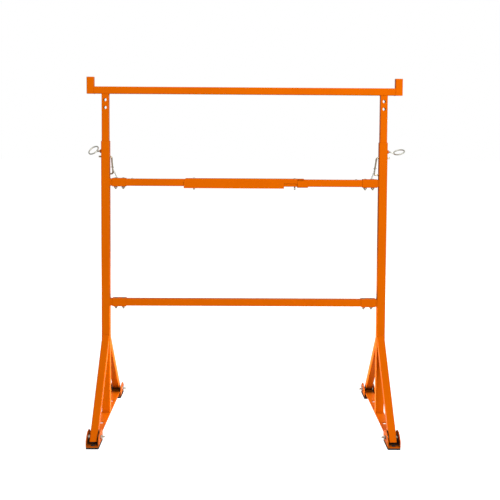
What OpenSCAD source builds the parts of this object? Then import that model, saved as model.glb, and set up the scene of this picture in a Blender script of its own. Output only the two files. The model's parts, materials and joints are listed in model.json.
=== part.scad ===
// Builders trestle with a lifting head, in millimetres.
// X runs along the head, the front faces -Y, and Z is up from the floor.

/* [Tubes] */
// Side of the outer post tube and of the rail sleeves
post_side = 35; // [32:0.5:50]
// Wall of every tube
tube_wall = 2; // [1.5:0.1:3]
// Gap on each side between a tube and the one inside it
slide_gap = 0.5; // [0.3:0.1:1]
// Outside corner radius of every tube
corner_r = 3; // [2.2:0.1:5]

/* [Frame] */
// Distance between the centre lines of the posts
post_spacing = 1164; // [900:1:1500]
// Height of the top of the outer posts
post_top = 1179; // [1160:1:1250]
// Height of the middle rail's centre line
mid_rail_z = 1007; // [990:1:1015]
// Height of the low rail's centre line
low_rail_z = 500; // [430:1:700]

/* [Head] */
// Whole length of the head with its stops
head_length = 1318; // [1280:1:1700]
// Height of the head's upper face
head_top = 1406; // [1360:1:1450]
// Height of the stops above the head's upper face
stop_rise = 40; // [20:1:80]
// Length of the inner posts below the head
inner_length = 857; // [820:1:900]
// Pitch of the pin holes in the inner posts
hole_pitch = 50; // [40:1:60]
// Number of pin holes below the one in use
holes_below = 10; // [6:1:10]
// Radius of the two cross holes at the top of each inner post
cross_hole_r = 6.5; // [4:0.1:8]
// Depth of the upper cross hole below the head
cross_hole_drop = 25; // [20:1:45]
// Distance between the two cross holes
cross_hole_pitch = 32; // [25:1:60]

/* [Lock pins] */
// Radius of the bent rod
pin_r = 3.5; // [2.5:0.1:4.5]
// Gap round the rod in its holes
pin_gap = 0.4; // [0.3:0.1:1]
// Height of the pin hole
pin_z = 1114; // [1100:1:1120]
// Length of the rod beyond the outer face of the post
pin_reach = 11.5; // [4:0.5:12]
// Distance from the post face to the middle of the left pin's hanging arm
pin_off_left = 10; // [9:0.5:14]
// Distance from the post face to the middle of the right pin's hanging arm
pin_off_right = 14; // [12:0.5:18]
// Lean of the left arm away from the post
pin_lean_left = 5; // [0:0.5:6]
// Lean of the right arm away from the post
pin_lean_right = 8; // [0:0.5:10]
// Drop from the long leg to the short leg
pin_drop = 72; // [50:1:74]
// Bend radius of the rod at its middle line
pin_bend = 6; // [5:0.5:6.5]
// Radius that the rod loses in its bends
bend_thin = 0.1; // [0.05:0.01:0.15]
// Lap of the straight lengths over the bends
bend_lap = 0.6; // [0.4:0.1:0.8]
// Gap between the short leg and the post
pin_end_gap = 0.3; // [0.2:0.1:1]

/* [Clamp screws] */
// Height of the right clamp screw
screw_z = 1140; // [1138:1:1155]
// Drop of the left clamp screw below the right one
screw_drop_left = 3.5; // [0:0.5:4]
// Radius of the clamp screw
screw_r = 4; // [3.5:0.1:5]
// Width across the flats of the welded nut
clamp_nut_flats = 13; // [12:0.5:18]
// Thickness of the welded nut
clamp_nut_t = 6.5; // [5:0.1:9]
// Length of the left screw beyond its nut
screw_out_left = 14; // [13.5:0.5:18]
// Length of the right screw beyond its nut
screw_out_right = 6; // [4:0.5:10]
// Mean radius of the ring
ring_r = 22.5; // [18:0.5:24]
// Wire radius of the ring
ring_wire_r = 2.8; // [2.4:0.1:3]
// Lean of the left ring out of the level
ring_lean_left = 33; // [10:1:40]
// Lean of the right ring out of the level
ring_lean_right = 21; // [0:1:40]
// Rise of the left ring toward the post
ring_rise_left = 32; // [20:1:45]
// Rise of the right ring away from the post
ring_rise_right = 15; // [0:1:30]
// Place on the left ring where its screw is welded
ring_weld_left = -60; // [-75:1:-50]
// Radius of the right ring's stem
stem_r = 2.2; // [1.5:0.1:2.3]
// Length of the stem along the screw
stem_run = 16; // [10:0.5:20]
// Drop of the stem below the screw
stem_drop = 6.7; // [2:0.1:10]
// Length of the stem inside the screw
stem_in = 3; // [1:0.1:4]

/* [Rail sleeves] */
// Length of the stub on the post
stub_length = 38; // [34:0.5:46]
// Gap between the post and the sleeve, where the stub shows
sleeve_off = 6.5; // [2:0.5:8]
// Length trimmed off the post end of the left sleeves
sleeve_trim_left = 4; // [0:0.5:5]
// Length of a sleeve
sleeve_length = 61; // [60:1:80]
// Distance from the post face to the first bolt
bolt_first = 24; // [22:0.5:27]
// Distance between the two bolts of a sleeve
bolt_pitch = 32; // [31.5:0.5:36]
// Gap between the end of a stub and the end of its rail
rail_gap = 0.3; // [0.1:0.1:1]
// Radius of a rail bolt
bolt_r = 4; // [3:0.5:4.5]
// Gap round a rail bolt in its holes
bolt_gap = 0.4; // [0.3:0.1:1]
// Radius of the bolt's domed head
dome_r = 8; // [6.5:0.5:9]
// Height of the bolt's domed head
dome_h = 2.5; // [2:0.1:5]
// Width across the flats of the rail nuts
rail_nut_flats = 13; // [12:0.5:16]
// Thickness of the rail nuts
rail_nut_t = 6.5; // [5:0.1:8]
// Length of bolt showing past its nut
bolt_tail = 5; // [1:0.5:10]
// Distance of the rivets on the middle rail from the middle
rivet_x = 471; // [440:1:480]
// Radius of a rivet's domed head
rivet_head_r = 6; // [5:0.5:8]
// Height of a rivet's domed head
rivet_head_h = 3.5; // [2:0.1:4]
// Radius of a rivet's shank
rivet_r = 2.5; // [2:0.1:3]
// Gap round a rivet's shank
rivet_gap = 0.3; // [0.2:0.1:0.5]
// Radius of a rivet's closed end inside the rail
rivet_tail_r = 4; // [3.6:0.1:5]
// Height of a rivet's closed end
rivet_tail_h = 3; // [2:0.1:5]

/* [Splice] */
// Plate thickness of the splice channel
splice_t = 3; // [2:0.1:4]
// Outside bend radius of the splice channel and the collar
splice_bend = 5; // [4.5:0.1:6]
// Left end of the channel from the middle
splice_left = 254; // [230:1:300]
// Right end of the channel's upper web from the middle
splice_right = 250; // [240:1:262]
// Right end of the full side walls
splice_full = 166; // [100:1:200]
// Depth of the full side walls below the rail's centre line
splice_deep = 23; // [18:0.5:30]
// Depth of the short side walls below the rail's centre line
splice_short = 2; // [0:0.5:10]
// Length of the cut at the upper left corners of the channel
splice_cut = 7; // [3:0.5:9]
// Height of the cut at the upper left corners of the channel
splice_cut_h = 14; // [8:0.5:20]
// Distance of each splice pin from the middle
splice_pin_x = 212; // [206:1:214]
// Radius of a splice pin
splice_pin_r = 3.3; // [2.5:0.1:4]
// Gap round a splice pin in its holes
splice_pin_gap = 0.3; // [0.2:0.1:1]
// Radius of a splice pin's head
splice_head_r = 7; // [5:0.5:9]
// Height of a splice pin's head
splice_head_h = 3; // [2:0.1:4]
// Length of a splice pin below the rail's centre line
splice_pin_low = 30; // [22:0.5:40]
// Length of the collar along the rail
collar_length = 44; // [20:1:60]
// Plate thickness of the collar
collar_t = 4; // [2:0.1:5]
// Height of the collar's walls above the rail's centre line
collar_rise = 9.5; // [0:0.5:13]
// Gap between the channel's short wall and the collar
collar_gap = 0.5; // [0.2:0.1:2]
// Right end of the short side walls
splice_step = 222; // [221:0.5:224]

/* [Base] */
// Thickness of the base bar
bar_t = 4; // [3.5:0.5:6]
// Edge radius of the base bar
bar_edge = 1; // [0.5:0.1:1.9]
// Height of the base bar's upper face
bar_top = 28; // [27.5:0.5:31]
// Gap between the base bar and each cheek of a foot
bar_gap = 2; // [1:0.1:4]
// Distance of each anchor hole from the middle of the bar
anchor_y = 155; // [80:1:240]
// Radius of the anchor holes
anchor_r = 10; // [4:0.5:12]
// Distance of the feet from the middle, front to back
foot_y = 345; // [280:1:420]
// Height where the upper face of a leg meets the post
leg_join_z = 363; // [300:1:420]
// Height of the lower end of a leg
leg_end_z = 22; // [21.5:0.1:22.5]

/* [Feet] */
// Width of a foot
foot_w = 50; // [48:0.5:60]
// Length of a foot
foot_l = 113; // [104:1:130]
// Plate thickness of a foot
foot_t = 3; // [2:0.1:4]
// Outside bend radius of a foot's plate
foot_bend = 5; // [4.5:0.1:6]
// Thickness of the rubber pad
pad_t = 7; // [5:0.5:8]
// Height of the pivot above the floor
pivot_z = 32; // [31:0.5:34]
// Height of the cheeks above the floor
cheek_top = 57; // [52:0.5:62]
// Height of the upright ends of the cheeks
cheek_end_z = 34; // [20:0.5:40]
// Height of the cheeks' upper bend
cheek_bend_z = 51; // [45:0.5:51.5]
// Distance of the upper bend from the end of a cheek
cheek_bend_y = 25; // [15:0.5:30]
// Half length of the flat top of a cheek
cheek_flat = 14; // [8:0.5:20]
// Radius of the pivot bolt
pivot_r = 4; // [3.5:0.1:4.5]
// Running gap of a cheek on its pivot bolt
pivot_fit = 0.05; // [0.02:0.01:0.1]
// Gap between a cheek and the pieces that hold it sideways
cheek_gap = 0.2; // [0.1:0.1:0.5]
// Radius of the pivot spacers
spacer_r = 7; // [6:0.5:8]
// Width across the flats of the pivot nuts and bolt heads
pivot_flats = 13; // [12:0.5:17]
// Thickness of a pivot bolt's head
pivot_head_t = 5.3; // [4:0.1:7]
// Thickness of a pivot nut
pivot_nut_t = 6.5; // [5:0.1:8]
// Length of pivot bolt past its nut
pivot_tail = 9; // [2:0.5:12]
// Distance of the pad's buttons from the pivot
button_y = 40; // [36:0.5:42]
// Radius of a button's head
button_r = 8; // [7:0.5:9]
// Height of a button's head
button_h = 3; // [2:0.1:4]
// Radius of a button's neck
button_neck_r = 5; // [4:0.1:5.5]
// Gap round a button's neck in the plate
button_gap = 0.3; // [0.1:0.1:1]

/* [Chain] */
// Wire radius of the links
link_wire_r = 1; // [0.7:0.1:1.2]
// Free play between two links
link_play = 0.3; // [0.2:0.1:0.6]
// Mean radius of the loop on the pin
loop_r = 6.5; // [6.1:0.1:7]
// Drop of the loop below the long leg of the pin
loop_drop = 44; // [38:1:48]
// Distance of the chain in front of the posts' centre plane
chain_y = 10.2; // [10:0.1:12]
// Distance of the staple from the post face
staple_off = 32; // [31:0.5:40]

/* [Hidden] */
$fn = 64;

// Sizes worked out from the ones above
tube_side = post_side - 2 * tube_wall - 2 * slide_gap;
tube_half = tube_side / 2;
post_half = post_side / 2;
post_x = post_spacing / 2;
inner_face_x = post_x - post_half;
outer_face_x = post_x + post_half;
head_bottom = head_top - tube_side;
stop_top = head_top + stop_rise;
stop_x = head_length / 2 - tube_half;
beam_half = head_length / 2 - tube_side;
sleeve_near_x = inner_face_x - sleeve_off;
sleeve_far_x = sleeve_near_x - sleeve_length;
stub_end_x = inner_face_x - stub_length;
rail_end_x = stub_end_x - rail_gap;
sleeve_top_z = mid_rail_z + post_half;
splice_in = tube_half + slide_gap;
splice_out = splice_in + splice_t;
web_low_z = mid_rail_z + tube_half;
web_top_z = web_low_z + splice_t;
collar_x = splice_step + collar_gap;
screw_tip_x = post_x + tube_half + 0.3;
screw_end_left = outer_face_x + clamp_nut_t + screw_out_left;
screw_end_right = outer_face_x + clamp_nut_t + screw_out_right;
arm_low_z = pin_z - pin_drop;
foot_clear = foot_w / 2 - foot_t;
bar_half = foot_clear - bar_gap;
plate_top_z = pad_t + foot_t;
spacer_length = foot_clear - tube_half - cheek_gap;
leg_rise = leg_join_z - pivot_z;
leg_run = foot_y - post_half;
leg_angle = atan2(leg_run, leg_rise) + asin(tube_half / sqrt(leg_rise * leg_rise + leg_run * leg_run));
loop_z = pin_z - loop_drop;
chain_top_z = loop_z - link_wire_r - link_play - link_wire_r;
staple_x = inner_face_x - staple_off;
chain_dz = chain_top_z - sleeve_top_z;
link_count = 7;

// Sizes that differ from side to side
function screw_height(side) = side < 0 ? screw_z - screw_drop_left : screw_z;
function sleeve_start(side) = side < 0 ? sleeve_near_x - sleeve_trim_left : sleeve_near_x;
function pin_off(side) = side < 0 ? pin_off_left : pin_off_right;
function pin_lean(side) = side < 0 ? pin_lean_left : pin_lean_right;
function arm_run(side) = (pin_drop - 2 * pin_bend) / cos(pin_lean(side));
function arm_mid_z(side) = pin_z - pin_drop / 2 + pin_bend * sin(pin_lean(side));
function bend_x(side) = inner_face_x - pin_off(side) + pin_bend * cos(pin_lean(side))
    + arm_run(side) / 2 * sin(pin_lean(side));
function loop_x(side) = inner_face_x - pin_off(side) - (arm_mid_z(side) - loop_z) * tan(pin_lean(side));
function chain_dx(side) = loop_x(side) - staple_x;
function chain_length(side) = sqrt(chain_dx(side) * chain_dx(side) + chain_dz * chain_dz);
function link_pitch(side) = (chain_length(side) - link_wire_r - link_play / 2) / (link_count + 0.5);
function link_r(side) = link_pitch(side) / 2 + link_wire_r + link_play / 2;

// Colours
orange = [0.87, 0.38, 0.02];
zinc = [0.72, 0.72, 0.70];
black = [0.06, 0.06, 0.06];

// Put a right-hand piece on the right, or its mirror image on the left
module on_side(side) {
    mirror([side < 0 ? 1 : 0, 0, 0]) children();
}

// Put a rear piece at the rear, or its mirror image at the front
module on_end(end) {
    mirror([0, end < 0 ? 1 : 0, 0]) children();
}

// Square with rounded corners
module round_square(side, radius) {
    square([side - 2 * radius, side], center = true);
    square([side, side - 2 * radius], center = true);
    for (x = [-1, 1], y = [-1, 1])
        translate([x * (side / 2 - radius), y * (side / 2 - radius)])
            circle(r = radius);
}

// Cross section of a square tube
module tube_section(side) {
    difference() {
        round_square(side, corner_r);
        round_square(side - 2 * tube_wall, max(corner_r - tube_wall, 0.3));
    }
}

// Rectangle with rounded corners, centred on its origin
module round_plate(wide, high, radius) {
    square([wide - 2 * radius, high], center = true);
    square([wide, high - 2 * radius], center = true);
    for (x = [-1, 1], y = [-1, 1])
        translate([x * (wide / 2 - radius), y * (high / 2 - radius)])
            circle(r = radius);
}

// Trough shape that stands on its origin, rounded at its two lower corners
module trough(wide, high, radius) {
    translate([-wide / 2, radius]) square([wide, high - radius]);
    translate([-wide / 2 + radius, 0]) square([wide - 2 * radius, high]);
    for (x = [-1, 1])
        translate([x * (wide / 2 - radius), radius])
            circle(r = radius);
}

// Cross section of a plate bent into a U, standing on its origin
module bent_section(wide, high, plate, radius) {
    difference() {
        trough(wide, high, radius);
        translate([0, plate]) trough(wide - 2 * plate, high, max(radius - plate, 0.3));
    }
}

// Tube standing between two heights
module tube_up(side, low, high) {
    translate([0, 0, low])
        linear_extrude(height = high - low)
            tube_section(side);
}

// Tube lying along X between two places
module tube_along(side, start, finish) {
    translate([start, 0, 0])
        rotate([90, 0, 90])
            linear_extrude(height = finish - start)
                tube_section(side);
}

// Round bar along X
module bar_along(radius, start, finish) {
    translate([start, 0, 0])
        rotate([0, 90, 0])
            cylinder(r = radius, h = finish - start);
}

// Hexagon along X
module hexagon_along(flats, start, finish) {
    translate([start, 0, 0])
        rotate([0, 90, 0])
            cylinder(r = flats / 2 / cos(30), h = finish - start, $fn = 6);
}

// Round wire ring lying flat
module wire_ring(mean_r, wire_r) {
    rotate_extrude()
        translate([mean_r, 0])
            circle(r = wire_r);
}

// Domed head standing on the level of its origin
module dome(radius, height) {
    ball_r = (radius * radius + height * height) / (2 * height);
    rotate_extrude()
        intersection() {
            translate([0, height - ball_r]) circle(r = ball_r);
            square([radius + 1, height + 1]);
        }
}

module outer_post(side) {
    color(orange)
        on_side(side)
            difference() {
                translate([post_x, 0, 0]) tube_up(post_side, bar_top, post_top);
                translate([0, 0, pin_z])
                    bar_along(pin_r + pin_gap, inner_face_x - 1, outer_face_x + 1);
                translate([0, 0, screw_height(side)])
                    bar_along(screw_r + 0.3, post_x, outer_face_x + 1);
            }
}

module base_bar(side) {
    low_z = bar_top - bar_t;
    foot_line = foot_y - tube_half * cos(leg_angle);
    low_run = (low_z - pivot_z + tube_half * sin(leg_angle)) * tan(leg_angle);
    high_run = (bar_top - pivot_z + tube_half * sin(leg_angle)) * tan(leg_angle);
    low_y = foot_line - low_run;
    high_y = foot_line - high_run;
    color(orange)
        on_side(side)
            difference() {
                intersection() {
                    translate([post_x - bar_half - 1, 0, 0])
                        rotate([90, 0, 90])
                            linear_extrude(height = 2 * bar_half + 2)
                                polygon([[-low_y, low_z], [low_y, low_z], [high_y, bar_top], [-high_y, bar_top]]);
                    translate([post_x, foot_y, bar_top - bar_t / 2])
                        rotate([90, 0, 0])
                            linear_extrude(height = 2 * foot_y)
                                round_plate(2 * bar_half, bar_t, bar_edge);
                }
                for (y = [-anchor_y, anchor_y])
                    translate([post_x, y, low_z - 1])
                        cylinder(r = anchor_r, h = bar_t + 2);
            }
}

module leg(side, end) {
    color(orange)
        on_side(side)
            on_end(end)
                translate([post_x, 0, 0])
                    difference() {
                        translate([0, foot_y, pivot_z])
                            rotate([leg_angle, 0, 0])
                                tube_up(tube_side, -120, leg_run / sin(leg_angle) + 120);
                        translate([-post_side, post_half - 400, 0])
                            cube([2 * post_side, 400, 900]);
                        translate([-post_side, 0, leg_end_z - 200])
                            cube([2 * post_side, foot_y + 300, 200]);
                        translate([0, foot_y, pivot_z])
                            bar_along(pivot_r + 0.2, -tube_side, tube_side);
                    }
}

module rail_stubs(side) {
    color(orange)
        on_side(side)
            for (z = [low_rail_z, mid_rail_z])
                difference() {
                    translate([0, 0, z]) tube_along(tube_side, stub_end_x, inner_face_x);
                    translate([inner_face_x - bolt_first, 0, z - post_side])
                        cylinder(r = bolt_r + bolt_gap, h = 2 * post_side);
                }
}

module rail_sleeve(side, z) {
    color(orange)
        on_side(side)
            difference() {
                translate([0, 0, z]) tube_along(post_side, sleeve_far_x, sleeve_start(side));
                for (off = [bolt_first, bolt_first + bolt_pitch])
                    translate([inner_face_x - off, 0, z - post_side])
                        cylinder(r = bolt_r + bolt_gap, h = 2 * post_side);
            }
}

// Hole for a sleeve's second bolt in a rail
module rail_hole(z) {
    translate([inner_face_x - bolt_first - bolt_pitch, 0, z - post_side])
        cylinder(r = bolt_r + bolt_gap, h = 2 * post_side);
}

module low_rail() {
    color(orange)
        difference() {
            translate([0, 0, low_rail_z]) tube_along(tube_side, -rail_end_x, rail_end_x);
            rail_hole(low_rail_z);
            mirror([1, 0, 0]) rail_hole(low_rail_z);
        }
}

module mid_rail(side) {
    color(orange)
        on_side(side)
            difference() {
                translate([0, 0, mid_rail_z]) tube_along(tube_side, rail_gap / 2, rail_end_x);
                rail_hole(mid_rail_z);
                translate([rivet_x, 0, mid_rail_z])
                    cylinder(r = rivet_r + rivet_gap, h = post_side);
                translate([splice_pin_x, 0, mid_rail_z - post_side])
                    cylinder(r = splice_pin_r + splice_pin_gap, h = 2 * post_side);
            }
}

module splice_channel() {
    depth = web_top_z - mid_rail_z + splice_deep;
    color(orange)
        difference() {
            translate([-splice_left, 0, web_top_z])
                rotate([90, 0, 90])
                    mirror([0, 1, 0])
                        linear_extrude(height = splice_left + splice_right)
                            bent_section(2 * splice_out, depth, splice_t, splice_bend);
            translate([-splice_left, post_side, web_top_z])
                rotate([90, 0, 0])
                    linear_extrude(height = 2 * post_side)
                        polygon([
                            [-1, 1],
                            [-1, -splice_cut_h - splice_cut_h / splice_cut],
                            [splice_cut + splice_cut / splice_cut_h, 1]
                        ]);
            translate([splice_full, -post_side, mid_rail_z - splice_short - 100])
                cube([splice_right, 2 * post_side, 100]);
            translate([splice_step, -post_side, web_low_z - 100])
                cube([splice_right, 2 * post_side, 100]);
            for (x = [-splice_pin_x, splice_pin_x])
                translate([x, 0, mid_rail_z])
                    cylinder(r = splice_pin_r + splice_pin_gap, h = 2 * post_side);
        }
}

module rail_collar() {
    color(orange)
        translate([collar_x, 0, mid_rail_z - tube_half - collar_t])
            rotate([90, 0, 90])
                linear_extrude(height = collar_length)
                    bent_section(tube_side + 0.4 + 2 * collar_t, tube_half + collar_t + collar_rise,
                        collar_t, splice_bend);
}

// Run something at each of the eight rail bolts
module at_bolts() {
    for (side = [-1, 1], z = [low_rail_z, mid_rail_z], off = [bolt_first, bolt_first + bolt_pitch])
        translate([side * (inner_face_x - off), 0, z])
            children();
}

module rail_bolts() {
    shank = post_side + rail_nut_t + bolt_tail;
    color(zinc)
        at_bolts()
            union() {
                translate([0, 0, post_half]) dome(dome_r, dome_h);
                translate([0, 0, post_half - shank]) cylinder(r = bolt_r, h = shank);
            }
}

module rail_nuts() {
    color(zinc)
        at_bolts()
            difference() {
                translate([0, 0, -post_half - rail_nut_t])
                    cylinder(r = rail_nut_flats / 2 / cos(30), h = rail_nut_t, $fn = 6);
                translate([0, 0, -post_half - rail_nut_t - 1])
                    cylinder(r = bolt_r + 0.05, h = rail_nut_t + 2);
            }
}

module rail_rivets() {
    low = web_low_z - tube_wall;
    color(zinc)
        for (side = [-1, 1])
            translate([side * rivet_x, 0, 0])
                union() {
                    translate([0, 0, web_low_z]) dome(rivet_head_r, rivet_head_h);
                    translate([0, 0, low - rivet_tail_h]) cylinder(r = rivet_r, h = tube_wall + rivet_tail_h);
                    translate([0, 0, low - rivet_tail_h]) cylinder(r = rivet_tail_r, h = rivet_tail_h);
                }
}

module clamp_nut(side) {
    color(orange)
        on_side(side)
            translate([0, 0, screw_height(side)])
                difference() {
                    hexagon_along(clamp_nut_flats, outer_face_x, outer_face_x + clamp_nut_t);
                    bar_along(screw_r + 0.05, outer_face_x - 1, outer_face_x + clamp_nut_t + 1);
                }
}

module clamp_screw(side) {
    color(zinc)
        on_side(side)
            translate([0, 0, screw_height(side)])
                bar_along(screw_r, screw_tip_x, side < 0 ? screw_end_left : screw_end_right);
}

// Left ring, set so that one place on it lies on the end of its screw
module clamp_ring_left() {
    touch_x = ring_r * cos(ring_weld_left);
    touch_y = ring_r * sin(ring_weld_left);
    lean_y = touch_y * cos(ring_lean_left);
    lean_z = touch_y * sin(ring_lean_left);
    turn_x = touch_x * cos(ring_rise_left) - lean_z * sin(ring_rise_left);
    turn_z = touch_x * sin(ring_rise_left) + lean_z * cos(ring_rise_left);
    color(zinc)
        translate([-screw_end_left - turn_x, -lean_y, screw_height(-1) - turn_z])
            rotate([ring_lean_left, -ring_rise_left, 0])
                wire_ring(ring_r, ring_wire_r);
}

// Right ring, held to the end of its screw by a bent stem
module clamp_ring_right() {
    near_x = screw_end_right + stem_run;
    near_z = screw_z - stem_drop;
    stem_length = sqrt((stem_run + stem_in) * (stem_run + stem_in) + stem_drop * stem_drop);
    slope = atan2(stem_drop, stem_run + stem_in);
    color(zinc)
        union() {
            translate([near_x + ring_r * cos(ring_rise_right), 0, near_z + ring_r * sin(ring_rise_right)])
                rotate([ring_lean_right, -ring_rise_right, 0])
                    wire_ring(ring_r, ring_wire_r);
            translate([screw_end_right - stem_in, 0, screw_z])
                rotate([0, 90 + slope, 0])
                    cylinder(r = stem_r, h = stem_length);
        }
}

module head_beam() {
    color(orange)
        translate([0, 0, head_bottom + tube_half])
            tube_along(tube_side, -beam_half, beam_half);
}

module head_stop(side) {
    inside = tube_side - 2 * tube_wall;
    color(orange)
        translate([side * stop_x, 0, head_bottom])
            difference() {
                linear_extrude(height = stop_top - head_bottom)
                    round_square(tube_side, corner_r);
                translate([0, 0, -1])
                    linear_extrude(height = stop_top - head_bottom - tube_wall + 1)
                        round_square(inside, max(corner_r - tube_wall, 0.3));
            }
}

module inner_post(side) {
    color(orange)
        on_side(side)
            difference() {
                translate([post_x, 0, 0]) tube_up(tube_side, head_bottom - inner_length, head_bottom);
                for (drop = [cross_hole_drop, cross_hole_drop + cross_hole_pitch])
                    translate([post_x, tube_side, head_bottom - drop])
                        rotate([90, 0, 0])
                            cylinder(r = cross_hole_r, h = 2 * tube_side);
                for (k = [-holes_below : 2])
                    translate([0, 0, pin_z + k * hole_pitch])
                        bar_along(pin_r + pin_gap, inner_face_x, outer_face_x);
            }
}

// Bend of the pin's rod in the X and Z plane, from one angle through another
module rod_bend(start, sweep) {
    rotate([90, 0, 0])
        rotate([0, 0, start])
            rotate_extrude(angle = sweep)
                translate([pin_bend, 0])
                    circle(r = pin_r - bend_thin);
}

module lock_pin(side) {
    lean = pin_lean(side);
    top_x = bend_x(side);
    low_x = top_x - arm_run(side) * sin(lean);
    low_z = arm_low_z + pin_bend;
    color(zinc)
        on_side(side)
            union() {
                translate([0, 0, pin_z])
                    bar_along(pin_r, top_x - bend_lap, outer_face_x + pin_reach);
                translate([top_x, 0, pin_z - pin_bend])
                    mirror([1, 0, 0]) rod_bend(lean, 90 - lean);
                translate([low_x - pin_bend * cos(lean), 0, low_z + pin_bend * sin(lean)])
                    rotate([0, lean, 0])
                        translate([0, 0, -bend_lap])
                            cylinder(r = pin_r, h = arm_run(side) + 2 * bend_lap);
                translate([low_x, 0, low_z])
                    mirror([1, 0, 0]) rod_bend(-90, 90 + lean);
                translate([0, 0, arm_low_z])
                    bar_along(pin_r, low_x - bend_lap, inner_face_x - pin_end_gap);
            }
}

module pin_loop(side) {
    color(zinc)
        on_side(side)
            translate([loop_x(side), -(loop_r - link_wire_r - pin_r - 0.3), loop_z])
                wire_ring(loop_r, link_wire_r);
}

module chain(side) {
    step_x = -chain_dx(side) / chain_length(side);
    step_z = -chain_dz / chain_length(side);
    slope = atan2(chain_dz, chain_dx(side));
    color(zinc)
        on_side(side) {
            for (k = [0 : link_count - 1])
                translate([
                    loop_x(side) + step_x * (link_r(side) + k * link_pitch(side)),
                    -chain_y,
                    chain_top_z + step_z * (link_r(side) + k * link_pitch(side))
                ])
                    rotate(k % 2 == 0 ? [0, -slope, 0] : [90, 0, 0])
                        wire_ring(link_r(side), link_wire_r);
            difference() {
                translate([staple_x, -chain_y, sleeve_top_z])
                    rotate([90, 0, 0])
                        wire_ring(link_r(side), link_wire_r);
                translate([staple_x - 20, -chain_y - 20, sleeve_top_z - 40])
                    cube([40, 40, 40]);
            }
        }
}

module splice_pin(side) {
    color(zinc)
        translate([side * splice_pin_x, 0, 0])
            union() {
                translate([0, 0, web_top_z]) dome(splice_head_r, splice_head_h);
                translate([0, 0, mid_rail_z - splice_pin_low])
                    cylinder(r = splice_pin_r, h = web_top_z - mid_rail_z + splice_pin_low);
            }
}

// Run something at each of the four foot pivots, as a right rear piece
module at_pivots() {
    for (side = [-1, 1], end = [-1, 1])
        on_side(side)
            translate([post_x, end * foot_y, pivot_z])
                children();
}

module foot_bolts() {
    head_x = foot_w / 2 + cheek_gap;
    end_x = foot_w / 2 + cheek_gap + pivot_nut_t + pivot_tail;
    color(zinc)
        at_pivots()
            union() {
                bar_along(pivot_r, -end_x, head_x);
                hexagon_along(pivot_flats, head_x, head_x + pivot_head_t);
            }
}

module foot_nuts() {
    near_x = foot_w / 2 + cheek_gap;
    color(zinc)
        at_pivots()
            difference() {
                hexagon_along(pivot_flats, -near_x - pivot_nut_t, -near_x);
                bar_along(pivot_r + 0.05, -near_x - pivot_nut_t - 1, -near_x + 1);
            }
}

module foot_spacers() {
    color(zinc)
        at_pivots()
            for (start = [tube_half, -tube_half - spacer_length])
                difference() {
                    bar_along(spacer_r, start, start + spacer_length);
                    bar_along(pivot_r + 0.3, start - 1, start + spacer_length + 1);
                }
}

module foot_plate(side, end) {
    half = foot_l / 2;
    bend_y = half - cheek_bend_y;
    color(orange)
        translate([side * post_x, end * foot_y, 0])
            difference() {
                intersection() {
                    translate([0, half, pad_t])
                        rotate([90, 0, 0])
                            linear_extrude(height = foot_l)
                                bent_section(foot_w, cheek_top - pad_t, foot_t, foot_bend);
                    translate([-foot_w, 0, 0])
                        rotate([90, 0, 90])
                            linear_extrude(height = 2 * foot_w)
                                polygon([
                                    [-half, pad_t],
                                    [half, pad_t],
                                    [half, cheek_end_z],
                                    [bend_y, cheek_bend_z],
                                    [cheek_flat, cheek_top],
                                    [-cheek_flat, cheek_top],
                                    [-bend_y, cheek_bend_z],
                                    [-half, cheek_end_z]
                                ]);
                }
                translate([0, 0, pivot_z])
                    bar_along(pivot_r + pivot_fit, -foot_w, foot_w);
                for (y = [-button_y, button_y])
                    translate([0, y, pad_t - 1])
                        cylinder(r = button_neck_r + button_gap, h = foot_t + 2);
            }
}

module foot_pad(side, end) {
    color(black)
        translate([side * post_x, end * foot_y, 0])
            union() {
                translate([-foot_w / 2, -foot_l / 2, 0])
                    cube([foot_w, foot_l, pad_t]);
                for (y = [-button_y, button_y])
                    translate([0, y, 0]) {
                        translate([0, 0, pad_t / 2])
                            cylinder(r = button_neck_r, h = plate_top_z + button_h / 2 - pad_t / 2);
                        translate([0, 0, plate_top_z])
                            cylinder(r = button_r, h = button_h);
                    }
            }
}

outer_post(-1);  // outer_post_left
outer_post(1);  // outer_post_right
base_bar(-1);  // base_bar_left
base_bar(1);  // base_bar_right
leg(-1, -1);  // front_leg_left
leg(1, -1);  // front_leg_right
leg(-1, 1);  // rear_leg_left
leg(1, 1);  // rear_leg_right
rail_stubs(-1);  // rail_stubs_left
rail_stubs(1);  // rail_stubs_right
rail_sleeve(-1, mid_rail_z);  // sleeve_mid_left
rail_sleeve(1, mid_rail_z);  // sleeve_mid_right
rail_sleeve(-1, low_rail_z);  // sleeve_low_left
rail_sleeve(1, low_rail_z);  // sleeve_low_right
low_rail();
mid_rail(-1);  // mid_rail_left
mid_rail(1);  // mid_rail_right
splice_channel();
rail_collar();
rail_bolts();
rail_nuts();
rail_rivets();
clamp_nut(-1);  // clamp_nut_left
clamp_nut(1);  // clamp_nut_right
foot_bolts();
foot_nuts();
foot_spacers();
chain(-1);  // chain_left
chain(1);  // chain_right
head_beam();
head_stop(-1);  // head_stop_left
head_stop(1);  // head_stop_right
inner_post(-1);  // inner_post_left
inner_post(1);  // inner_post_right
lock_pin(-1);  // lock_pin_left
lock_pin(1);  // lock_pin_right
pin_loop(-1);  // pin_loop_left
pin_loop(1);  // pin_loop_right
clamp_screw(-1);  // clamp_screw_left
clamp_screw(1);  // clamp_screw_right
clamp_ring_left();
clamp_ring_right();
splice_pin(-1);  // splice_pin_left
splice_pin(1);  // splice_pin_right
foot_plate(-1, -1);  // foot_plate_front_left
foot_plate(1, -1);  // foot_plate_front_right
foot_plate(-1, 1);  // foot_plate_rear_left
foot_plate(1, 1);  // foot_plate_rear_right
foot_pad(-1, -1);  // foot_pad_front_left
foot_pad(1, -1);  // foot_pad_front_right
foot_pad(-1, 1);  // foot_pad_rear_left
foot_pad(1, 1);  // foot_pad_rear_right
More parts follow.
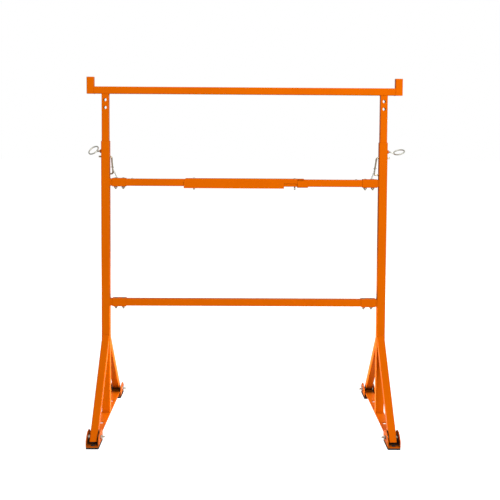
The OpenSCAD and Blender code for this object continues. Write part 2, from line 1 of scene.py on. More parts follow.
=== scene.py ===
# %% [markdown]
# # A builders trestle
# The tubes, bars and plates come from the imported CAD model. They are loaded first and stay where they
# are, because other tools rely on their places. Blender adds what a drawing office leaves out: the paint,
# the zinc, the threads, the weld beads, the links of the chains and the round edges of the rubber pads.

# %% Load the frame
import json
import math
import bmesh
import bpy
from mathutils import Matrix, Vector


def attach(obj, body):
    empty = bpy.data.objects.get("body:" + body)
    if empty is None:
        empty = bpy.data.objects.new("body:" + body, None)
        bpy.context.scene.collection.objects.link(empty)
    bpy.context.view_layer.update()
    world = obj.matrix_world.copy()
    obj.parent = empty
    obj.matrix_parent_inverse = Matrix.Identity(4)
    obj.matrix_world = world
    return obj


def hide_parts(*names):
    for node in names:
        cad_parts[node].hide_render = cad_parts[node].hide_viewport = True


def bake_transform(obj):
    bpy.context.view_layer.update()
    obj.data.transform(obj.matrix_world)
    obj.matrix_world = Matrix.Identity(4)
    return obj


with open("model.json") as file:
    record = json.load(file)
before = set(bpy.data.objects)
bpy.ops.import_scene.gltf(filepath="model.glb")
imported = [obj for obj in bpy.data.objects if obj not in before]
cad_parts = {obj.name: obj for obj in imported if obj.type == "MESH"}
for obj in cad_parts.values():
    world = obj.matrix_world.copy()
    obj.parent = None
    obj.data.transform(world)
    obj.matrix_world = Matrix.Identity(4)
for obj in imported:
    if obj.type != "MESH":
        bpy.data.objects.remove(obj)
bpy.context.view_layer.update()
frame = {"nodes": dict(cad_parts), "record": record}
nodes = frame["nodes"]
MM = 0.001
SIDES = (("left", -1), ("right", 1))
ENDS = (("front", -1), ("rear", 1))

# %% [markdown]
# ## The camera
# The picture was taken from about four metres, a little above the rails, with the lens tipped down by a
# few degrees. A camera could be placed by eye, but its place was worked out by fitting the posts, rails
# and feet, so every edge falls where it should. The lens looks above the middle of the picture, which a
# vertical shift gives without turning the camera.

# %% Camera
CAMERA_PLACE = Vector((-0.0245, -4.0, 1.2467))
TURN, TIP, ROLL = math.radians(0.69), math.radians(3.64), math.radians(0.36)
LENS_MM = 68.58
SENSOR_MM = 36
SHIFT_UP = -0.1274
ahead = Vector((math.sin(TURN) * math.cos(TIP), math.cos(TURN) * math.cos(TIP), -math.sin(TIP)))
level = Vector((math.cos(TURN), -math.sin(TURN), 0))
upward = Vector((math.sin(TURN) * math.sin(TIP), math.cos(TURN) * math.sin(TIP), math.cos(TIP)))
across = level * math.cos(ROLL) + upward * math.sin(ROLL)
upright = upward * math.cos(ROLL) - level * math.sin(ROLL)
camera = bpy.data.objects.new("camera", bpy.data.cameras.new("camera"))
bpy.context.scene.collection.objects.link(camera)
camera.data.lens = LENS_MM
camera.data.sensor_width = SENSOR_MM
camera.data.shift_y = SHIFT_UP
turn = Matrix((across, upright, -ahead)).transposed().to_4x4()
camera.matrix_world = Matrix.Translation(CAMERA_PLACE) @ turn
bpy.context.scene.camera = camera
print("camera at", tuple(round(x, 3) for x in CAMERA_PLACE))

# %% [markdown]
# ## The floor
# The trestle stands in a plain white room, on a pale floor without an edge. A floor that is really white
# would throw so much light back up that the shade under the feet is lost. So its paint is a mid grey that
# glows white for the camera's own rays alone.

# %% Floor
FLOOR_HALF_M = 30
FLOOR_GREY = 0.38
FLOOR_ROUGH, FLOOR_SHINE = 0.9, 0.1
WHITE = (1, 1, 1, 1)
floor_mesh = bpy.data.meshes.new("floor")
shape = bmesh.new()
bmesh.ops.create_grid(shape, x_segments=1, y_segments=1, size=FLOOR_HALF_M)
shape.to_mesh(floor_mesh)
shape.free()
floor = bpy.data.objects.new("floor", floor_mesh)
bpy.context.scene.collection.objects.link(floor)
floor_paint = bpy.data.materials.new("floor_white")
floor_paint.use_nodes = True
floor_face = floor_paint.node_tree.nodes["Principled BSDF"]
floor_face.inputs["Base Color"].default_value = (FLOOR_GREY, FLOOR_GREY, FLOOR_GREY, 1)
floor_face.inputs["Roughness"].default_value = FLOOR_ROUGH
floor_face.inputs["Specular IOR Level"].default_value = FLOOR_SHINE
floor_face.inputs["Emission Color"].default_value = WHITE
floor_seen = floor_paint.node_tree.nodes.new("ShaderNodeLightPath")
floor_paint.node_tree.links.new(floor_seen.outputs["Is Camera Ray"], floor_face.inputs["Emission Strength"])
floor_mesh.materials.append(floor_paint)
print("floor laid,", 2 * FLOOR_HALF_M, "metres wide")

# %% [markdown]
# ## The surround
# The room round the trestle is white too. One plain background would do, but the strength that looks
# white is too strong as a light. A Light Path node tells the kinds of ray apart, so the camera sees white,
# gloss mirrors a dimmer room and everything else gets only a weak even light.

# %% Surround
SEEN_STRENGTH, GLOSS_STRENGTH, LIGHT_STRENGTH = 1.0, 0.35, 0.15
surround = bpy.data.worlds.new("surround")
bpy.context.scene.world = surround
surround.use_nodes = True
surround_light = surround.node_tree.nodes["Background"]
surround_light.inputs["Color"].default_value = WHITE
seen = surround.node_tree.nodes.new("ShaderNodeLightPath")
for_gloss = surround.node_tree.nodes.new("ShaderNodeMapRange")
for_gloss.inputs["To Min"].default_value = LIGHT_STRENGTH
for_gloss.inputs["To Max"].default_value = GLOSS_STRENGTH
surround.node_tree.links.new(seen.outputs["Is Glossy Ray"], for_gloss.inputs["Value"])
for_camera = surround.node_tree.nodes.new("ShaderNodeMapRange")
for_camera.inputs["To Max"].default_value = SEEN_STRENGTH
surround.node_tree.links.new(for_gloss.outputs["Result"], for_camera.inputs["To Min"])
surround.node_tree.links.new(seen.outputs["Is Camera Ray"], for_camera.inputs["Value"])
surround.node_tree.links.new(for_camera.outputs["Result"], surround_light.inputs["Strength"])
bpy.context.scene.view_settings.view_transform = "Standard"
print("surround strengths:", SEEN_STRENGTH, GLOSS_STRENGTH, LIGHT_STRENGTH)

# %% [markdown]
# ## The lamps
# The main lamp hangs in front, high and to the right, so the right half is a little lighter than the left.
# Two weaker ones stand behind to the left and right for the backs of the tubes, and two small spots low in
# the middle face outwards and light the inner sides of the legs. One large lamp would be simpler, but it
# leaves the backs and the legs' inner sides dark. Only the main lamp is mirrored in the gloss.

# %% Lamps


def hang(name, kind, place, target, power, mirrored):
    """Hang a lamp of a kind that faces a target, and say whether gloss mirrors it."""
    lamp = bpy.data.lights.new(name, kind)
    lamp.energy = power
    hung = bpy.data.objects.new(name, lamp)
    bpy.context.scene.collection.objects.link(hung)
    hung.location = place
    aim = Vector(target) - Vector(place)
    hung.rotation_euler = aim.to_track_quat("-Z", "Y").to_euler()
    hung.visible_glossy = mirrored
    return lamp


lamp_front = hang("lamp_front", "AREA", place=(1.9, -5.4, 3.8), target=(0, 0, 0.5), power=440, mirrored=True)
lamp_front.size = 2.5
for name, sign in SIDES:
    lamp_back = hang("lamp_back_" + name, "AREA", place=(sign * 3.0, 3.6, 1.3), target=(0, 0, 0.7),
                     power=100, mirrored=False)
    lamp_back.size = 1.5
    lamp_low = hang("lamp_low_" + name, "SPOT", place=(0, 0.2, 0.15), target=(sign * 0.58, 0, 0.2),
                    power=36, mirrored=False)
    lamp_low.spot_size = math.radians(80)
    lamp_low.spot_blend = 0.4
    lamp_low.shadow_soft_size = 0.1
print("five lamps hung")

# %% [markdown]
# ## Finishes
# Four finishes cover everything: a satin orange powder coat, bright zinc plate, the darker yellow zinc of
# the lock pins and rail bolts, and black rubber. A plain colour would look like plastic, so each is mixed
# from noise: a slow one shifts the colour, a finer one the gloss, and the finest one makes the skin uneven.
# The noise reads Object coordinates, because they need no unwrapping and stay put when a piece moves.

# %% Finish mixer
NOISE_LOW, NOISE_HIGH = 0.3, 0.7
COLOUR_DETAIL, GLOSS_DETAIL, SKIN_DETAIL = 4, 3, 2
GLOSS_FINER = 7
SKIN_STRENGTH = 0.5


def make_finish(name, dark, light, patch, rough, metal, skin, skin_height, shine):
    """Mix a finish: colour range, patch scale, roughness range, metal share, skin grain and shine."""
    finish = bpy.data.materials.new(name)
    finish.use_nodes = True
    made = finish.node_tree.nodes
    join = finish.node_tree.links.new
    face = made["Principled BSDF"]
    face.inputs["Metallic"].default_value = metal
    face.inputs["Specular IOR Level"].default_value = shine
    where = made.new("ShaderNodeTexCoord")

    def noise(scale, detail):
        """Noise on Object coordinates."""
        cloud = made.new("ShaderNodeTexNoise")
        cloud.inputs["Scale"].default_value = scale
        cloud.inputs["Detail"].default_value = detail
        join(where.outputs["Object"], cloud.inputs["Vector"])
        return cloud.outputs["Fac"]

    tint = made.new("ShaderNodeValToRGB")
    tint.color_ramp.elements[0].position = NOISE_LOW
    tint.color_ramp.elements[0].color = (*dark, 1)
    tint.color_ramp.elements[1].position = NOISE_HIGH
    tint.color_ramp.elements[1].color = (*light, 1)
    join(noise(patch, COLOUR_DETAIL), tint.inputs["Fac"])
    join(tint.outputs["Color"], face.inputs["Base Color"])
    spread = made.new("ShaderNodeMapRange")
    spread.inputs["From Min"].default_value = NOISE_LOW
    spread.inputs["From Max"].default_value = NOISE_HIGH
    spread.inputs["To Min"].default_value = rough[0]
    spread.inputs["To Max"].default_value = rough[1]
    join(noise(patch * GLOSS_FINER, GLOSS_DETAIL), spread.inputs["Value"])
    join(spread.outputs["Result"], face.inputs["Roughness"])
    bump = made.new("ShaderNodeBump")
    bump.inputs["Strength"].default_value = SKIN_STRENGTH
    bump.inputs["Distance"].default_value = skin_height
    join(noise(skin, SKIN_DETAIL), bump.inputs["Height"])
    join(bump.outputs["Normal"], face.inputs["Normal"])
    return finish


print("finish mixer: noise between", NOISE_LOW, "and", NOISE_HIGH, "sets colour and gloss")

# %% Finishes
orange_coat = make_finish("orange_powder_coat", dark=(0.66, 0.116, 0.0004), light=(0.70, 0.128, 0.0004),
                          patch=6, rough=(0.34, 0.46), metal=0.0, skin=700, skin_height=0.00008, shine=0.35)
zinc_plate = make_finish("zinc_plate", dark=(0.46, 0.46, 0.39), light=(0.60, 0.60, 0.52),
                         patch=120, rough=(0.34, 0.48), metal=0.35, skin=1500, skin_height=0.00006, shine=0.5)
yellow_zinc = make_finish("yellow_zinc", dark=(0.36, 0.30, 0.20), light=(0.48, 0.41, 0.29),
                          patch=120, rough=(0.26, 0.38), metal=0.75, skin=1500, skin_height=0.00006,
                          shine=0.5)
black_rubber = make_finish("black_rubber", dark=(0.010, 0.010, 0.010), light=(0.022, 0.021, 0.020),
                           patch=60, rough=(0.62, 0.80), metal=0.0, skin=1100, skin_height=0.0002, shine=0.3)
finish_of_slot = {"orange_paint": orange_coat, "zinc_steel": zinc_plate, "rubber": black_rubber}
print("finishes:", ", ".join(f.name for f in (orange_coat, zinc_plate, yellow_zinc, black_rubber)))

# %% [markdown]
# ## Gloss and painted shade on the orange coat
# The real coat stays a deep orange where the lamp shines on it, so its gloss is tinted orange face on and
# turns white only at a slant. Its corners are painted darker, most of all inside the feet: this is painted
# shade. It could be painted by hand, but an Ambient Occlusion node finds by itself where other faces are
# close.

# %% Gloss and painted shade
COAT_GLOSS = (0.9, 0.15, 0.002, 1)
# Painted shade: the dark colour mixed into the coat's corners in place of shade, how far it reaches, and
# where it is full and gone.
PAINTED_SHADE_COLOUR = (0.05, 0.018, 0.002)
PAINTED_SHADE_REACH_M = 0.07
PAINTED_SHADE_SAMPLES = 12
SHADE_FULL, SHADE_GONE = 0.15, 0.7


def add_painted_shade(finish):
    """Paint shade into a finish where other faces close round it, as far as the painted shade reaches."""
    made = finish.node_tree.nodes
    join = finish.node_tree.links.new
    base = made["Principled BSDF"].inputs["Base Color"]
    unshaded = base.links[0].from_socket
    corner = made.new("ShaderNodeAmbientOcclusion")
    corner.samples = PAINTED_SHADE_SAMPLES
    corner.inputs["Distance"].default_value = PAINTED_SHADE_REACH_M
    openness = made.new("ShaderNodeMapRange")
    openness.inputs["From Min"].default_value = SHADE_FULL
    openness.inputs["From Max"].default_value = SHADE_GONE
    join(corner.outputs["AO"], openness.inputs["Value"])
    # Mix the painted shade colour over the clean coat colour where the corners close in.
    shaded_mix = made.new("ShaderNodeMix")
    shaded_mix.data_type = "RGBA"
    shaded_mix.inputs["A"].default_value = (*PAINTED_SHADE_COLOUR, 1)
    join(openness.outputs["Result"], shaded_mix.inputs["Factor"])
    join(unshaded, shaded_mix.inputs["B"])
    join(shaded_mix.outputs["Result"], base)


orange_coat.node_tree.nodes["Principled BSDF"].inputs["Specular Tint"].default_value = COAT_GLOSS
# Paint shade into the corners of the orange coat.
add_painted_shade(orange_coat)
# The reach printed here is that of the painted shade.
print("painted shade reaches", PAINTED_SHADE_REACH_M, "metres out of the corners")

# %% [markdown]
# ## Paint the CAD pieces
# The record says which finish each piece takes, so the loop looks it up and no list is kept here. Only the
# lock pins and their loops differ: they are zinc like the rest, but the yellow kind.

# %% Paint
slot_of_node = {row["node"]: row["material_slot"] for row in frame["record"]["subparts"]}
for name, node in nodes.items():
    node.data.materials.clear()
    pin = name.startswith(("lock_pin", "pin_loop"))
    node.data.materials.append(yellow_zinc if pin else finish_of_slot[slot_of_node[name]])
print("painted", len(nodes), "nodes")

# %% [markdown]
# ## Helpers for turned and cut pieces
# Bolts, nuts, pins and screws come off a lathe. They could be joined up from cylinders, but a profile that
# is spun round Z gives shank, head and chamfer in one closed skin. A finished unit is copied to each of its
# places, and everything that belongs to one node becomes one piece that rides on the node's body.

# %% Turned shapes
MERGE_M = 2e-6
NO_MOVE = Matrix.Identity(4)


def at(x, y, z):
    """A move to a place given in millimetres."""
    return Matrix.Translation((x * MM, y * MM, z * MM))


def close_up(shape):
    """Merge the seams of a shape and point its faces outwards."""
    bmesh.ops.remove_doubles(shape, verts=shape.verts[:], dist=MERGE_M)
    bmesh.ops.recalc_face_normals(shape, faces=shape.faces[:])
    return shape


def turned(profile, steps=32):
    """Spin a profile of (radius, height) points in millimetres round Z."""
    shape = bmesh.new()
    row = [shape.verts.new((r * MM, 0, z * MM)) for r, z in profile]
    edges = [shape.edges.new(pair) for pair in zip(row, row[1:])]
    bmesh.ops.spin(shape, geom=row + edges, cent=(0, 0, 0), axis=(0, 0, 1), angle=math.tau, steps=steps,
                   use_merge=True)
    return close_up(shape)


print("turned seams merge within", MERGE_M / MM, "mm")

# %% Pieces
SHARP = math.radians(32)


def collect(target, unit, place):
    """Copy a unit into a larger shape at a place."""
    moved = unit.copy()
    bmesh.ops.transform(moved, matrix=place, verts=moved.verts[:])
    spare = bpy.data.meshes.new("spare")
    moved.to_mesh(spare)
    target.from_mesh(spare)
    bpy.data.meshes.remove(spare)
    moved.free()


def add_piece(name, shape, slot, body, *replaced, finish=None):
    """Make a piece of a shape, with its own or its slot's finish, on a body, in place of CAD nodes."""
    bmesh.ops.recalc_face_normals(shape, faces=shape.faces[:])
    for face in shape.faces:
        face.smooth = True
    for edge in shape.edges:
        edge.smooth = edge.is_manifold and edge.calc_face_angle() < SHARP
    mesh = bpy.data.meshes.new(name)
    shape.to_mesh(mesh)
    shape.free()
    mesh.materials.append(finish or finish_of_slot[slot])
    piece = bpy.data.objects.new(name, mesh)
    bpy.context.scene.collection.objects.link(piece)
    if body:
        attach(piece, body)
    if replaced:
        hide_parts(*replaced)
    print(name, len(mesh.polygons), "faces")
    return piece


print("edges sharper than", round(math.degrees(SHARP)), "degrees stay crisp")

# %% [markdown]
# ## Threads
# A screw thread is a small ridge wound round the bolt. A bump in the finish would hint at it, but the
# outline would stay straight. So one ridge is drawn as three points, and a spin that also climbs by a
# pitch each turn winds it into a helix. The ragged ends are cut square and capped.

# %% Thread
M8_RADIUS, M8_PITCH = 4, 1.25
RIDGE_DEPTH = 0.55
TURN_STEPS = 24
SPARE_TURNS = 3


def slice_off(shape, place, out):
    """Cut away what lies beyond a plane, and cap the cut."""
    everything = shape.verts[:] + shape.edges[:] + shape.faces[:]
    bmesh.ops.bisect_plane(shape, geom=everything, plane_co=place, plane_no=out, clear_outer=True)
    bmesh.ops.holes_fill(shape, edges=[e for e in shape.edges if e.is_boundary])


def threaded_rod(low, high, radius=M8_RADIUS, pitch=M8_PITCH):
    """A threaded rod standing on Z between two heights in millimetres."""
    shape = bmesh.new()
    root = radius - RIDGE_DEPTH * pitch
    start = low - SPARE_TURNS / 2 * pitch
    turns = math.ceil((high - low) / pitch) + SPARE_TURNS
    ridge = ((root, start), (radius, start + 0.5 * pitch), (root, start + pitch))
    row = [shape.verts.new((r * MM, 0, z * MM)) for r, z in ridge]
    edges = [shape.edges.new(pair) for pair in zip(row, row[1:])]
    climb = (0, 0, pitch * MM / TURN_STEPS)
    bmesh.ops.spin(shape, geom=row + edges, cent=(0, 0, 0), axis=(0, 0, 1), dvec=climb,
                   angle=math.tau * turns, steps=TURN_STEPS * turns)
    bmesh.ops.remove_doubles(shape, verts=shape.verts[:], dist=MERGE_M)
    slice_off(shape, (0, 0, high * MM), (0, 0, 1))
    slice_off(shape, (0, 0, low * MM), (0, 0, -1))
    return close_up(shape)


print("threads:", 2 * M8_RADIUS, "mm across with a pitch of", M8_PITCH)

# %% [markdown]
# ## Hexagon nuts and heads
# A nut could be a six-sided cylinder with a bevel, but a real one shows curved edges where its chamfer
# meets its flats. So it is turned first, as a ring with its faces chamfered, and then six flats are milled
# off it, as on the machine.

# %% Hexagons
NUT_FLATS, NUT_THICK, NUT_BORE = 13, 6.5, 4.05
HALF_SIDE = math.radians(30)
CHAMFER = math.radians(30)
FACE_SHARE = 0.475
RING_STEPS = 48


def hexagon(flats, thick, bore=0.0, plain_low=False):
    """A nut, or a bolt head where the bore is nought, standing on Z."""
    corner = flats / 2 / math.cos(HALF_SIDE)
    face = flats * FACE_SHARE
    lift = (corner - face) * math.tan(CHAMFER)
    low_part = [(corner, 0)] if plain_low else [(face, 0), (corner, lift)]
    profile = [(bore, 0)] + low_part + [(corner, thick - lift), (face, thick), (bore, thick)]
    if bore:
        profile.append((bore, 0))
    shape = turned(profile, RING_STEPS)
    for k in range(6):
        side = HALF_SIDE + k * math.radians(60)
        out = Vector((math.cos(side), math.sin(side), 0))
        slice_off(shape, out * flats / 2 * MM, out)
    return close_up(shape)


m8_nut = hexagon(NUT_FLATS, NUT_THICK, NUT_BORE)
print("nut:", len(m8_nut.faces), "faces")

# %% [markdown]
# ## Rail bolts and rail nuts
# Each sleeve is held by two cup-headed bolts that drop through it. The nuts and the threaded tails show
# under the sleeve. One bolt could carry a cup, a shank and a thread as three pieces, but it is one part in
# the hand, so its shapes are collected into one unit and copied to the eight places.

# %% Round heads
DOME_STEPS = 6


def dome(radius, rise, seat):
    """The profile of a low round head, from its top out to its rim at the height of its seat."""
    ball = (radius ** 2 + rise ** 2) / (2 * rise)
    lean = math.asin(radius / ball)
    middle = seat + rise - ball
    return [(ball * math.sin(lean * k / DOME_STEPS), middle + ball * math.cos(lean * k / DOME_STEPS))
            for k in range(DOME_STEPS + 1)]


print("a round head has", DOME_STEPS, "steps from top to rim")

# %% Rail bolts
INNER_FACE, OUTER_FACE, POST_X = 564.5, 599.5, 582
LOW_RAIL_Z, MID_RAIL_Z = 500, 1007
BOLT_OFFS = (24, 56)
CUP_RADIUS, CUP_RISE, CUP_SEAT = 8, 2.5, 17.5
RAIL_SHANK_END, RAIL_THREAD_TOP, RAIL_THREAD_END = -17.2, -17, -29
RAIL_NUT_Z = -24
shank = [(M8_RADIUS, CUP_SEAT), (M8_RADIUS, RAIL_SHANK_END), (0, RAIL_SHANK_END)]
cup_bolt = turned(dome(CUP_RADIUS, CUP_RISE, CUP_SEAT) + shank)
collect(cup_bolt, threaded_rod(RAIL_THREAD_END, RAIL_THREAD_TOP), NO_MOVE)
bolts = bmesh.new()
nuts = bmesh.new()
for name, sign in SIDES:
    for z in (LOW_RAIL_Z, MID_RAIL_Z):
        for off in BOLT_OFFS:
            x = sign * (INNER_FACE - off)
            collect(bolts, cup_bolt, at(x, 0, z))
            collect(nuts, m8_nut, at(x, 0, z + RAIL_NUT_Z))
add_piece("rail_bolts_threaded", bolts, "zinc_steel", "frame", "rail_bolts", finish=yellow_zinc)
add_piece("rail_nuts_chamfered", nuts, "zinc_steel", "frame", "rail_nuts")

# %% [markdown]
# ## Pivot bolts of the feet
# A hexagon bolt crosses each foot, with its head outside and its nut and a length of thread inside. It is
# turned standing up, like the rail bolts, and then laid on its side, because a spin is easiest round Z.

# %% Pivot bolts
QUARTER = math.radians(90)
TURN_OUT = {"left": Matrix.Rotation(-QUARTER, 4, "Y"), "right": Matrix.Rotation(QUARTER, 4, "Y")}
FOOT_Y, PIVOT_Z = 345, 32
PIVOT_HEAD_Z, PIVOT_HEAD_THICK = 25.2, 5.3
PIVOT_SHANK_END, PIVOT_THREAD_TOP, PIVOT_THREAD_END = -25, -24.8, -40.7
PIVOT_NUT_Z = -31.7
pivot_bolt = turned([(0, PIVOT_HEAD_Z), (M8_RADIUS, PIVOT_HEAD_Z), (M8_RADIUS, PIVOT_SHANK_END),
                     (0, PIVOT_SHANK_END)])
collect(pivot_bolt, hexagon(NUT_FLATS, PIVOT_HEAD_THICK, plain_low=True), at(0, 0, PIVOT_HEAD_Z))
collect(pivot_bolt, threaded_rod(PIVOT_THREAD_END, PIVOT_THREAD_TOP), NO_MOVE)
bolts = bmesh.new()
nuts = bmesh.new()
for name, sign in SIDES:
    for end_name, end in ENDS:
        place = at(sign * POST_X, end * FOOT_Y, PIVOT_Z) @ TURN_OUT[name]
        collect(bolts, pivot_bolt, place)
        collect(nuts, m8_nut, place @ at(0, 0, PIVOT_NUT_Z))
add_piece("foot_bolts_threaded", bolts, "zinc_steel", "frame", "foot_bolts")
add_piece("foot_nuts_chamfered", nuts, "zinc_steel", "frame", "foot_nuts")

# %% [markdown]
# ## Clamp screws and their welded nuts
# A nut is welded to the outside of each post and painted with it. The screw that turns in it is bare, and
# its ring is welded to its end. Nut and screw are separate pieces, because only the screw turns.

# %% Clamp screws
SCREW_Z = {"left": 1136.5, "right": 1140}
SCREW_TIP = 597.3
SCREW_END = {"left": 620, "right": 612}
for name, sign in SIDES:
    welded = bmesh.new()
    collect(welded, m8_nut, at(sign * OUTER_FACE, 0, SCREW_Z[name]) @ TURN_OUT[name])
    add_piece("clamp_nut_chamfered_" + name, welded, "orange_paint", "frame", "clamp_nut_" + name)
    screw = bmesh.new()
    collect(screw, threaded_rod(SCREW_TIP, SCREW_END[name]), at(0, 0, SCREW_Z[name]) @ TURN_OUT[name])
    add_piece("clamp_screw_threaded_" + name, screw, "zinc_steel", "screw_" + name, "clamp_screw_" + name)

# %% [markdown]
# ## Splice pins
# Two loose pins drop through the channel and the rail. Each has a low round head and a tip with a chamfer.
# Head, shank and tip are one profile, so one spin makes the whole pin.

# %% Splice pins
SPLICE_X = 212
PIN_HEAD_RADIUS, PIN_HEAD_RISE, PIN_SEAT = 7, 3, 18
PIN_RADIUS, PIN_TAPER, PIN_TIP_RADIUS, PIN_END = 3.3, -28.5, 2.2, -30
pin_shank = [(PIN_RADIUS, PIN_SEAT), (PIN_RADIUS, PIN_TAPER), (PIN_TIP_RADIUS, PIN_END), (0, PIN_END)]
splice_pin = turned(dome(PIN_HEAD_RADIUS, PIN_HEAD_RISE, PIN_SEAT) + pin_shank)
for name, sign in SIDES:
    dropped = bmesh.new()
    collect(dropped, splice_pin, at(sign * SPLICE_X, 0, MID_RAIL_Z))
    add_piece("splice_pin_turned_" + name, dropped, "zinc_steel", "splice_pin_" + name, "splice_pin_" + name)

# %% [markdown]
# ## Chains
# A short chain keeps each lock pin with the trestle. Its links are long ovals, each turned a quarter from
# the one before, and the last one hangs on a staple welded to the sleeve. A link is a ring of wire, spun
# and then drawn out at both ends. The chain joins two things that move apart. Links on joints of their own
# would be too much for so small a piece, so the whole chain is one piece that is not attached to any body.

# %% Chain links
WIRE_SIDES, LOOP_STEPS = 10, 24
MIDDLE_M = 1e-6


def wire_loop(mean, wire, stretch):
    """A loop of round wire lying level, drawn out along X."""
    shape = bmesh.new()
    ring = bmesh.ops.create_circle(shape, segments=WIRE_SIDES, radius=wire * MM,
                                   matrix=at(mean, 0, 0) @ Matrix.Rotation(QUARTER, 4, "X"))
    bmesh.ops.spin(shape, geom=ring["verts"] + shape.edges[:], cent=(0, 0, 0), axis=(0, 0, 1), angle=math.tau,
                   steps=LOOP_STEPS, use_merge=True)
    for sign in (-1, 1):
        end = [vert for vert in shape.verts if vert.co.x * sign > MIDDLE_M]
        bmesh.ops.translate(shape, vec=(sign * stretch * MM, 0, 0), verts=end)
    return close_up(shape)


print("a link is wire of", WIRE_SIDES, "sides bent in", LOOP_STEPS, "steps")

# %% Chains
WIRE, PLAY, LINK_COUNT = 1.0, 0.15, 7
LINK_BEND = 2.75
CHAIN_Y = -10.2
LOOP_X, LOOP_Z = {"left": 553.754, "right": 549.258}, 1067.7
STAPLE_X, STAPLE_Z = 532.5, 1024.5
toward = Vector((0, 1, 0))
for name, sign in SIDES:
    top = Vector((sign * LOOP_X[name], CHAIN_Y, LOOP_Z))
    low = Vector((sign * STAPLE_X, CHAIN_Y, STAPLE_Z))
    down = (low - top).normalized()
    pitch = ((low - top).length - WIRE - PLAY) / (LINK_COUNT + 0.5)
    reach = pitch / 2 + WIRE + PLAY
    sideways = down.cross(toward)
    link = wire_loop(LINK_BEND, WIRE, reach - LINK_BEND)
    chain = bmesh.new()
    for k in range(LINK_COUNT):
        wide, flat = (toward, sideways) if k % 2 == 0 else (sideways, -toward)
        lie = Matrix((down, wide, flat)).transposed().to_4x4()
        collect(chain, link, at(*(top + down * (reach + k * pitch))) @ lie)
    staple = wire_loop(reach, WIRE, 0)
    stand_up = Matrix.Rotation(QUARTER, 3, "X")
    bmesh.ops.rotate(staple, cent=(0, 0, 0), matrix=stand_up, verts=staple.verts[:])
    slice_off(staple, (0, 0, 0), (0, 0, -1))
    collect(chain, staple, at(*low))
    piece = add_piece("chain_linked_" + name, chain, "zinc_steel", None, "chain_" + name)
    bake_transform(piece)

# %% [markdown]
# ## Rubber pads
# Each foot stands on a moulded pad with round corners and edges, and two buttons snap through holes in the
# plate and hold it. A block is bevelled twice, because the corners are rounder than the rims, and the
# buttons are turned. One pad is made and copied under the four feet.

# %% Pads
PAD_WIDE, PAD_LONG, PAD_THICK = 50, 113, 7
CORNER_ROUND, RIM_ROUND = 4, 1
BUTTON_Y = 40
BUTTON = [(0, 6), (5, 6), (5, 10), (7.4, 10), (8, 10.6), (7.6, 11.8), (6, 12.7), (3.2, 13), (0, 13)]
pad = bmesh.new()
block = Matrix.Diagonal((PAD_WIDE * MM, PAD_LONG * MM, PAD_THICK * MM, 1))
bmesh.ops.create_cube(pad, size=1, matrix=at(0, 0, PAD_THICK / 2) @ block)
corner_edges = [e for e in pad.edges if abs(e.verts[0].co.z - e.verts[1].co.z) > MM]
bmesh.ops.bevel(pad, geom=corner_edges, offset=CORNER_ROUND * MM, offset_type="OFFSET", segments=5,
                profile=0.5, affect="EDGES", material=-1)
rim_edges = [e for e in pad.edges if abs(e.verts[0].co.z - e.verts[1].co.z) < 0.01 * MM]
bmesh.ops.bevel(pad, geom=rim_edges, offset=RIM_ROUND * MM, offset_type="OFFSET", segments=3,
                profile=0.5, affect="EDGES", material=-1)
button = turned(BUTTON)
for y in (-BUTTON_Y, BUTTON_Y):
    collect(pad, button, at(0, y, 0))
for end_name, end in ENDS:
    for side_name, sign in SIDES:
        tail = end_name + "_" + side_name
        moulded = bmesh.new()
        collect(moulded, pad, at(sign * POST_X, end * FOOT_Y, 0))
        add_piece("foot_pad_moulded_" + tail, moulded, "rubber", "foot_" + tail, "foot_pad_" + tail)

# %% [markdown]
# ## Weld beads
# The legs, bars, stubs, stops and nuts are welded on. A plain tube along the seam would look like a cord.
# A bead is a row of small frozen ripples, so rings of changing size are set along the seam and bridged one
# to the next. The path runs round a tube, round a nut or straight along an edge.

# %% Bead paths
X, Y, Z = Vector((1, 0, 0)), Vector((0, 1, 0)), Vector((0, 0, 1))
CORNER_NICK = 0.3


def along(corners, step, closed):
    """Points at an even step along a path of corners, in millimetres."""
    ends = corners[1:] + corners[:1] if closed else corners[1:]
    points = []
    for a, b in zip(corners, ends):
        count = max(1, round((b - a).length / step))
        points += [a.lerp(b, k / count) for k in range(count)]
    return points if closed else points + [corners[-1]]


def box_path(centre, right, up, half_right, half_up, corner=3.0):
    """The outline of a square tube in a plane, with its corners cut in two."""
    nick = corner * CORNER_NICK
    path = []
    for a, b in ((1, 1), (-1, 1), (-1, -1), (1, -1)):
        turns = [(a * half_right, b * (half_up - corner)), (a * (half_right - nick), b * (half_up - nick)),
                 (a * (half_right - corner), b * half_up)]
        path += turns if a * b > 0 else turns[::-1]
    return [centre + right * x + up * y for x, y in path]


def round_path(centre, radius, count):
    """Points on a circle that faces along X."""
    angles = [k * math.tau / count for k in range(count)]
    return [centre + Y * radius * math.cos(angle) + Z * radius * math.sin(angle) for angle in angles]


print("a bead's path round a tube has", len(box_path(Vector(), X, Y, 15, 15)), "corners")

# %% Beads
BEAD_STEP, BEAD_SIDES = 1.5, 8
RIPPLE, RIPPLE_RINGS, RIPPLE_WANDER = 0.13, 3, 0.7


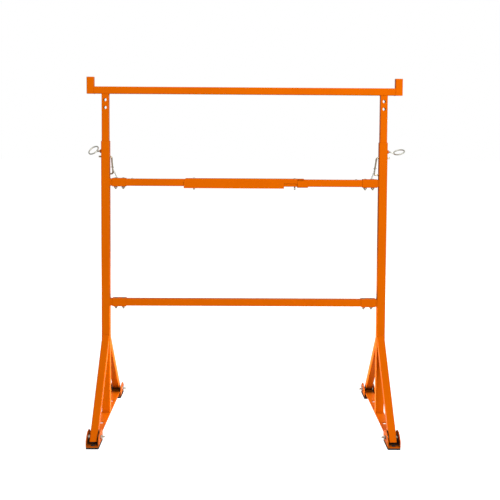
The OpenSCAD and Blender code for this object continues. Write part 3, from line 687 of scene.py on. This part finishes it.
def bead(corners, radius, closed=True):
    """Bridge rings of changing size along a path into a weld bead."""
    shape = bmesh.new()
    points = along(corners, BEAD_STEP, closed)
    count = len(points)
    rings = []
    for k, point in enumerate(points):
        after = points[(k + 1) % count] if closed or k + 1 < count else point
        before = points[k - 1] if closed or k else point
        lie = (after - before).to_track_quat("Z", "Y").to_matrix().to_4x4()
        ripple = math.cos(k * math.tau / RIPPLE_RINGS + math.sin(k * RIPPLE_WANDER))
        swell = radius * (1 + RIPPLE * ripple)
        made = bmesh.ops.create_circle(shape, segments=BEAD_SIDES, radius=swell * MM, matrix=at(*point) @ lie)
        rings.append(list(dict.fromkeys(edge for vert in made["verts"] for edge in vert.link_edges)))
    for k in range(count if closed else count - 1):
        bmesh.ops.bridge_loops(shape, edges=rings[k] + rings[(k + 1) % count])
    if not closed:
        bmesh.ops.holes_fill(shape, edges=[e for e in shape.edges if e.is_boundary])
    return close_up(shape)


print("a bead swells by", RIPPLE, "of its radius")

# %% [markdown]
# ## Welds of the frame and the head
# Each side has the same seams: the tops of both legs, both ends of the bar, the foot of the post, the clamp
# nut and the two rail stubs on the frame, and the inner post and the stop on the head. The beads sit a
# little into the tubes, as a real weld does, and one loop lays them on both sides.

# %% Weld sizes
BAR_TOP_Z = 28.4
LEG_TOP_Y, LEG_TOP_Z = 18, 342.3
LEG_HALF_WIDE, LEG_HALF_HIGH, LEG_BEAD = 15.2, 20.8, 2.0
BAR_END_Y, BAR_END_HALF, BAR_BEAD = 326.5, 13, 2.0
POST_HALF, POST_BEAD = 17.6, 1.8
NUT_RING, NUT_RING_POINTS, NUT_BEAD = 7.1, 18, 1.2
STUB_HALF, STUB_BEAD = 15.1, 1.3
OFF_FACE = 0.3
HEAD_UNDER_Z, HEAD_MIDDLE_Z, STOP_FACE = 1375.8, 1391, 628.8
INNER_HALF_WIDE, INNER_HALF_DEEP, INNER_BEAD = 15.0, 14.6, 1.5
STOP_HALF, STOP_BEAD = 14.6, 1.4
print("beads are", 2 * NUT_BEAD, "to", 2 * LEG_BEAD, "mm thick")

# %% Welds
for name, sign in SIDES:
    welds = bmesh.new()
    post = Vector((sign * POST_X, 0, 0))
    for end_name, end in ENDS:
        top = post + Y * end * LEG_TOP_Y + Z * LEG_TOP_Z
        collect(welds, bead(box_path(top, X, Z, LEG_HALF_WIDE, LEG_HALF_HIGH), LEG_BEAD), NO_MOVE)
        bar_end = post + Y * end * BAR_END_Y + Z * BAR_TOP_Z
        seam = [bar_end - X * BAR_END_HALF, bar_end + X * BAR_END_HALF]
        collect(welds, bead(seam, BAR_BEAD, closed=False), NO_MOVE)
    collect(welds, bead(box_path(post + Z * BAR_TOP_Z, X, Y, POST_HALF, POST_HALF), POST_BEAD), NO_MOVE)
    seat = Vector((sign * (OUTER_FACE + OFF_FACE), 0, SCREW_Z[name]))
    collect(welds, bead(round_path(seat, NUT_RING, NUT_RING_POINTS), NUT_BEAD), NO_MOVE)
    add_piece("frame_welds_" + name, welds, "orange_paint", "frame")
    roots = bmesh.new()
    for z in (LOW_RAIL_Z, MID_RAIL_Z):
        root = Vector((sign * (INNER_FACE - OFF_FACE), 0, z))
        collect(roots, bead(box_path(root, Y, Z, STUB_HALF, STUB_HALF), STUB_BEAD), NO_MOVE)
    add_piece("stub_welds_" + name, roots, "orange_paint", "frame")
    head = bmesh.new()
    under = post + Z * HEAD_UNDER_Z
    collect(head, bead(box_path(under, X, Y, INNER_HALF_WIDE, INNER_HALF_DEEP), INNER_BEAD), NO_MOVE)
    stop = Vector((sign * STOP_FACE, 0, HEAD_MIDDLE_Z))
    collect(head, bead(box_path(stop, Y, Z, STOP_HALF, STOP_HALF), STOP_BEAD), NO_MOVE)
    add_piece("head_welds_" + name, head, "orange_paint", "head")

# %% [markdown]
# ## Weld of the clamp rings
# A short collar of weld holds each ring to the end of its screw. It could be one piece with the other
# welds, but it turns with the screw, so it is a piece of its own on the screw's body.

# %% Ring welds
RING_WELD_X = {"left": -619.4, "right": 611.6}
RING_WELD_RADIUS, RING_WELD_POINTS, RING_WELD_BEAD = 3.0, 12, 1.3
for name, sign in SIDES:
    collar = bmesh.new()
    middle = Vector((RING_WELD_X[name], 0, SCREW_Z[name]))
    collect(collar, bead(round_path(middle, RING_WELD_RADIUS, RING_WELD_POINTS), RING_WELD_BEAD), NO_MOVE)
    add_piece("ring_weld_" + name, collar, "zinc_steel", "screw_" + name)
